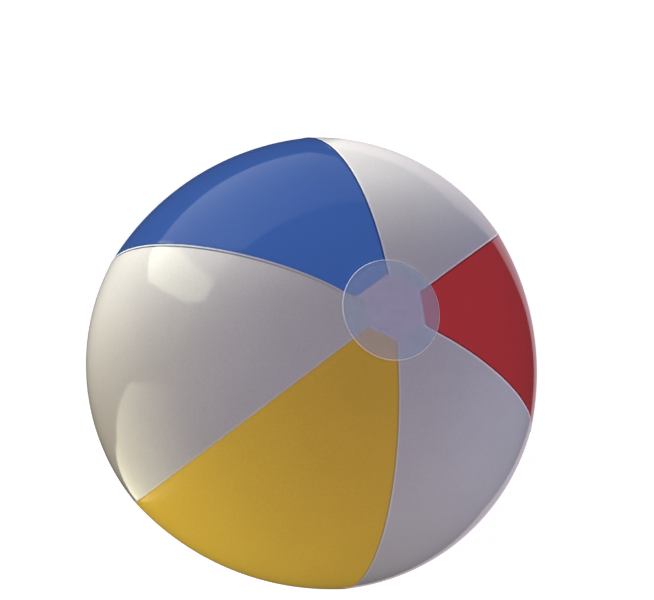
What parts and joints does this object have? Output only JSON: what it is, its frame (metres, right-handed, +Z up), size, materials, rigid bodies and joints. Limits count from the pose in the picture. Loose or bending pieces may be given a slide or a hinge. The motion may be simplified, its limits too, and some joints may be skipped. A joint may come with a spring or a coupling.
{
  "type": "inflatable beach ball",
  "caption": "Round inflatable beach ball of welded coloured and white film gores, with a clear patch over each pole and a push-in mouth valve.",
  "frame": {"origin": "the point that the ball rests on, in the middle of the rear end patch, so the ball stands on Z = 0 with its centre 159 mm up the +Z axis", "axes": "+Z up the polar axis, through the ball's centre, to the front end patch, where the gore tips meet; +Y the way that the inflation valve faces; +X completes a right-handed frame"},
  "size_m": [0.3284, 0.3268, 0.3185],
  "materials": {
    "gore_white_valve": "glossy film",
    "gore_blue": "glossy film",
    "gore_white_left": "glossy film",
    "gore_yellow": "glossy film",
    "gore_white_right": "glossy film",
    "gore_red": "glossy film",
    "end_patch_front": "clear, slightly milky, glossy",
    "end_patch_rear": "clear, slightly milky, glossy",
    "valve_flange": "clear, slightly milky, glossy",
    "valve_web": "clear, slightly milky, glossy",
    "valve_stem": "clear, slightly milky, glossy",
    "check_flap": "clear, slightly milky, glossy",
    "plug": "clear, slightly milky, glossy",
    "plug_strap": "clear, slightly milky, glossy"
  },
  "bodies": {
    "ball": {"gore_white_valve": "gore_white_valve", "gore_blue": "gore_blue", "gore_white_left": "gore_white_left", "gore_yellow": "gore_yellow", "gore_white_right": "gore_white_right", "gore_red": "gore_red", "end_patch_front": "end_patch_front", "end_patch_rear": "end_patch_rear", "valve_flange": "valve_flange", "valve_web": "valve_web"},
    "stem": {"valve_stem": "valve_stem"},
    "flap": {"check_flap": "check_flap"},
    "stopper": {"plug": "plug", "plug_strap": "plug_strap"}
  },
  "joints": [
    {"name": "stem_pop_out", "type": "slide", "parent": "ball", "child": "stem", "axis": [0, 1, 0], "range_m": [0, 0.0166], "deforming": ["valve_web"]},
    {"name": "plug_pull", "type": "slide", "parent": "stem", "child": "stopper", "axis": [0, 1, 0], "range_m": [0, 0.012], "deforming": ["plug_strap"]},
    {"name": "check_flap_swing", "type": "hinge", "parent": "stem", "child": "flap", "pos_m": [0, 0.15518, 0.16346], "axis": [-1, 0, 0], "range_deg": [0, 60], "stiffness_Nm_per_rad": 0.00002, "springref_deg": -11.46}
  ]
}
